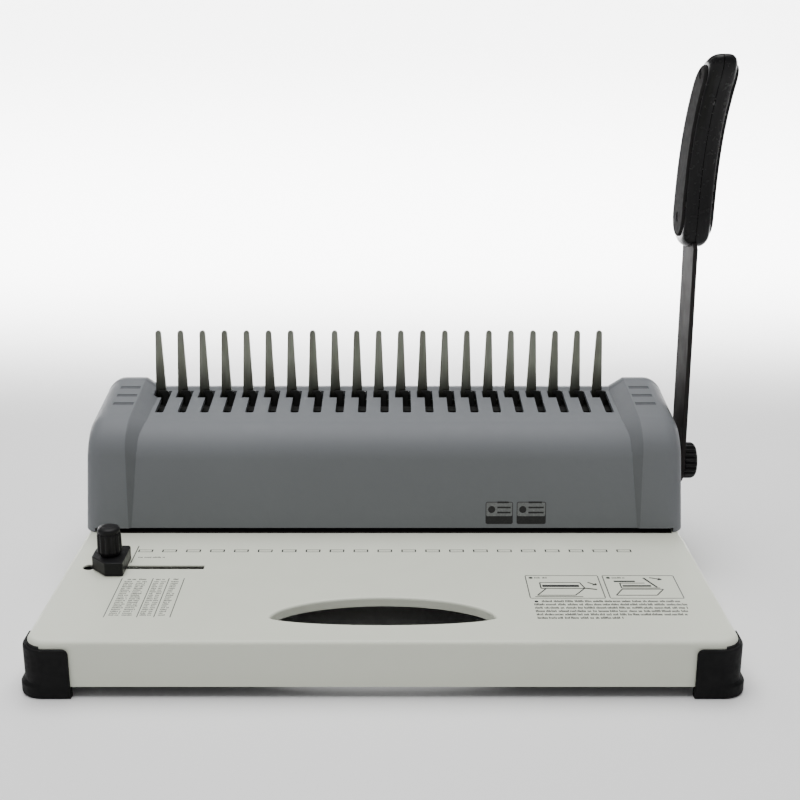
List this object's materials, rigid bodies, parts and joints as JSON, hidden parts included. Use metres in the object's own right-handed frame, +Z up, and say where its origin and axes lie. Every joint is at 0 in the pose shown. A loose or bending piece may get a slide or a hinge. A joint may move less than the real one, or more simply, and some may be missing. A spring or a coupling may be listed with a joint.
{
  "type": "comb binding machine",
  "caption": "Manual comb binding machine: a lever drives a row of rectangular paper punches, and a sliding hook rake opens plastic comb spines on fixed fingers.",
  "frame": {"origin": "centre of the machine's outline on the surface it stands on", "axes": "+X to the lever side, -Y to the user, +Z up"},
  "size_m": [0.3884, 0.2432, 0.318],
  "materials": {
    "powder_coat": "off-white powder coat, satin, fine orange peel",
    "grey_abs": "moulded grey plastic with a fine grain",
    "black_plastic": "moulded black plastic, satin",
    "black_paint": "glossy black paint",
    "plated_steel": "zinc plated",
    "dull_steel": "dull rolled steel",
    "tool_steel": "ground tool steel",
    "bush_brass": "turned brass"
  },
  "bodies": {
    "root": {"base_table": "powder_coat", "front_left_foot": "black_plastic", "front_right_foot": "black_plastic", "rear_left_foot": "black_plastic", "rear_right_foot": "black_plastic", "top_cover": "grey_abs", "left_side_frame": "plated_steel", "right_side_frame": "plated_steel", "left_shaft_bush": "bush_brass", "right_shaft_bush": "bush_brass", "die_plate": "tool_steel", "guide_plate": "plated_steel", "paper_stop": "plated_steel", "left_stack_screw": "plated_steel", "right_stack_screw": "plated_steel", "left_frame_screw": "plated_steel", "right_frame_screw": "plated_steel", "comb_plate": "dull_steel", "left_return_spring": "plated_steel", "right_return_spring": "plated_steel", "rake_return_spring": "plated_steel", "left_tray_rail": "plated_steel", "right_tray_rail": "plated_steel"},
    "shaft": {"main_shaft": "plated_steel", "left_cam": "tool_steel", "right_cam": "tool_steel"},
    "lever": {"lever_bar": "black_paint", "grip_inner_shell": "black_plastic", "grip_outer_shell": "black_plastic", "grip_screw_lower": "plated_steel", "grip_screw_upper": "plated_steel", "rake_crank": "plated_steel"},
    "clamp_knob": {"lever_knob": "black_plastic"},
    "punch": {"punch_bar": "plated_steel", "punch_pin_01": "tool_steel", "punch_pin_02": "tool_steel", "punch_pin_03": "tool_steel", "punch_pin_04": "tool_steel", "punch_pin_05": "tool_steel", "punch_pin_06": "tool_steel", "punch_pin_07": "tool_steel", "punch_pin_08": "tool_steel", "punch_pin_09": "tool_steel", "punch_pin_10": "tool_steel", "punch_pin_11": "tool_steel", "punch_pin_12": "tool_steel", "punch_pin_13": "tool_steel", "punch_pin_14": "tool_steel", "punch_pin_15": "tool_steel", "punch_pin_16": "tool_steel", "punch_pin_17": "tool_steel", "punch_pin_18": "tool_steel", "punch_pin_19": "tool_steel", "punch_pin_20": "tool_steel", "punch_pin_21": "tool_steel"},
    "rake": {"hook_rake": "dull_steel"},
    "drawer": {"chip_tray": "black_plastic"},
    "paper_guide": {"edge_guide_block": "black_plastic", "edge_guide_nut": "plated_steel"},
    "guide_knob": {"edge_guide_knob": "black_plastic"}
  },
  "joints": [
    {"name": "punch_stroke", "type": "hinge", "parent": "root", "child": "shaft", "pos_m": [-0.00553, 0.0674, 0.0644], "axis": [1, 0, 0], "range_deg": [0, 85.2]},
    {"name": "open_stroke", "type": "hinge", "parent": "shaft", "child": "lever", "pos_m": [-0.00553, 0.0674, 0.0644], "axis": [1, 0, 0], "range_deg": [-52.2, 0]},
    {"name": "lever_knob_turn", "type": "hinge", "parent": "lever", "child": "clamp_knob", "pos_m": [-0.00553, 0.0674, 0.0644], "axis": [1, 0, 0], "continuous": true},
    {"name": "punch_bar_slide", "type": "slide", "parent": "root", "child": "punch", "axis": [0, 0, -1], "range_m": [0, 0.009], "deforming": ["left_return_spring", "right_return_spring"]},
    {"name": "hook_rake_slide", "type": "slide", "parent": "root", "child": "rake", "axis": [0, -1, 0], "range_m": [0, 0.02366], "deforming": ["rake_return_spring"]},
    {"name": "chip_tray_slide", "type": "slide", "parent": "root", "child": "drawer", "axis": [0, 1, 0], "range_m": [0, 0.075]},
    {"name": "edge_guide_slide", "type": "slide", "parent": "root", "child": "paper_guide", "axis": [1, 0, 0], "range_m": [-0.0095, 0.0495]},
    {"name": "edge_guide_knob_turn", "type": "hinge", "parent": "paper_guide", "child": "guide_knob", "pos_m": [-0.16353, -0.028, 0.045], "axis": [0, 0, 1], "continuous": true}
  ],
  "couplings": [
    {"joint": "punch_stroke", "follows": "punch_bar_slide", "rad_per_m": 164.84},
    {"joint": "open_stroke", "follows": "hook_rake_slide", "rad_per_m": -38.344}
  ]
}
